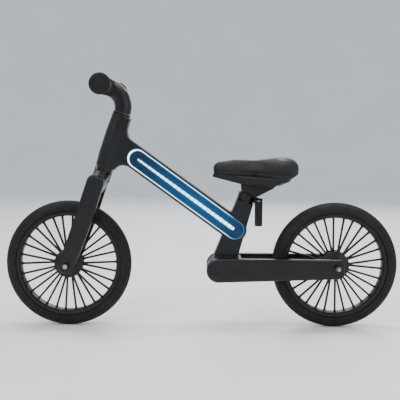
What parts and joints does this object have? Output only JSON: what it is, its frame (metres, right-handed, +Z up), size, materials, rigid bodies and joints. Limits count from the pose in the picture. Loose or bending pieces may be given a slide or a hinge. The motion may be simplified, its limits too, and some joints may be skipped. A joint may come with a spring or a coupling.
{
  "type": "balance bike",
  "caption": "Child's balance bike: cast frame with a lit capsule panel in its straight beam, moulded spoked wheels, sliding saddle, steering fork and quick-release seat clamp.",
  "frame": {"origin": "on the ground, midway between the two axles in the bike's middle plane", "axes": "-X is the way the bike rolls forward, -Y is the rider's left, +Z is up"},
  "size_m": [0.912, 0.384, 0.5751],
  "materials": {
    "frame_paint": "satin black powder coat on cast magnesium",
    "stem_paint": "satin black coat",
    "fastener_black": "blackened steel",
    "bright_steel": "plain turned steel",
    "headset_black": "black anodised",
    "light_ring": "frosted light guide, lit cyan-white",
    "light_strip": "frosted diffuser, lit cyan-white",
    "light_panel": "smoked lens, lit blue from inside",
    "circuit_board": "solder mask",
    "battery_wrap": "shrink wrap",
    "soft_rubber": "soft matt rubber",
    "grip_rubber": "ribbed soft rubber",
    "tyre_rubber": "matt foam rubber with a fine tread",
    "wheel_nylon": "moulded glass-filled nylon",
    "post_black": "black anodised tube",
    "saddle_shell": "moulded polypropylene",
    "saddle_cover": "grained synthetic leather",
    "lever_black": "black anodised"
  },
  "bodies": {
    "frame": {"frame": "frame_paint", "left_stay": "frame_paint", "right_stay": "frame_paint", "stay_bolts": "fastener_black", "stay_nuts": "fastener_black", "upper_headset_cup": "headset_black", "lower_headset_cup": "headset_black", "upper_headset_bearing": "bright_steel", "lower_headset_bearing": "bright_steel", "left_light_ring": "light_ring", "right_light_ring": "light_ring", "left_centre_strip": "light_strip", "right_centre_strip": "light_strip", "left_light_panel": "light_panel", "right_light_panel": "light_panel", "left_led_board": "circuit_board", "right_led_board": "circuit_board", "battery_cells": "battery_wrap", "control_board": "circuit_board", "charging_socket": "bright_steel", "seat_collar": "stem_paint", "clamp_bolt": "bright_steel", "cam_pin": "bright_steel", "cam_washer": "fastener_black", "clamp_nut": "bright_steel", "rear_axle": "bright_steel", "rear_axle_nuts": "fastener_black", "rear_axle_spacers": "bright_steel", "rear_hub_spacer": "bright_steel"},
    "fork_and_bars": {"fork": "frame_paint", "steerer": "bright_steel", "crown_race": "bright_steel", "headset_locknut": "bright_steel", "front_axle": "bright_steel", "front_axle_nuts": "fastener_black", "front_axle_spacers": "bright_steel", "front_hub_spacer": "bright_steel", "stem": "stem_paint", "stem_faceplate": "stem_paint", "faceplate_bolts": "fastener_black", "expander_bolt": "bright_steel", "wedge_nut": "bright_steel", "stem_cap": "soft_rubber", "handlebar": "stem_paint", "left_grip": "grip_rubber", "right_grip": "grip_rubber"},
    "front_wheel": {"front_tyre": "tyre_rubber", "front_wheel": "wheel_nylon", "front_wheel_bearings": "bright_steel"},
    "rear_wheel": {"rear_tyre": "tyre_rubber", "rear_wheel": "wheel_nylon", "rear_wheel_bearings": "bright_steel"},
    "seat": {"seat_post": "post_black", "saddle_base": "saddle_shell", "saddle_pad": "saddle_cover", "saddle_bolts": "fastener_black"},
    "lever": {"clamp_lever": "lever_black"},
    "button": {"power_button": "soft_rubber"},
    "flap": {"port_cover": "soft_rubber"}
  },
  "joints": [
    {"name": "steering", "type": "hinge", "parent": "frame", "child": "fork_and_bars", "pos_m": [-0.30049, 0, 0.14291], "axis": [0.309, 0, 0.9511], "range_deg": [-60, 60]},
    {"name": "front_wheel_spin", "type": "hinge", "parent": "fork_and_bars", "child": "front_wheel", "pos_m": [-0.31, 0, 0.146], "axis": [0, 1, 0], "continuous": true},
    {"name": "rear_wheel_spin", "type": "hinge", "parent": "frame", "child": "rear_wheel", "pos_m": [0.31, 0, 0.146], "axis": [0, 1, 0], "continuous": true},
    {"name": "seat_post_slide", "type": "slide", "parent": "frame", "child": "seat", "axis": [0.3256, 0, 0.9455], "range_m": [0, 0.07]},
    {"name": "clamp_lever_swing", "type": "hinge", "parent": "frame", "child": "lever", "pos_m": [0.12937, -0.025, 0.29432], "axis": [-1, 0, 0], "range_deg": [0, 110]},
    {"name": "power_button_press", "type": "slide", "parent": "frame", "child": "button", "axis": [0.5835, 0, 0.8121], "range_m": [0, 0.001], "stiffness_N_per_m": 500},
    {"name": "port_cover_swing", "type": "hinge", "parent": "frame", "child": "flap", "pos_m": [-0.06478, 0, 0.29708], "axis": [0, -1, 0], "range_deg": [0, 90]}
  ]
}
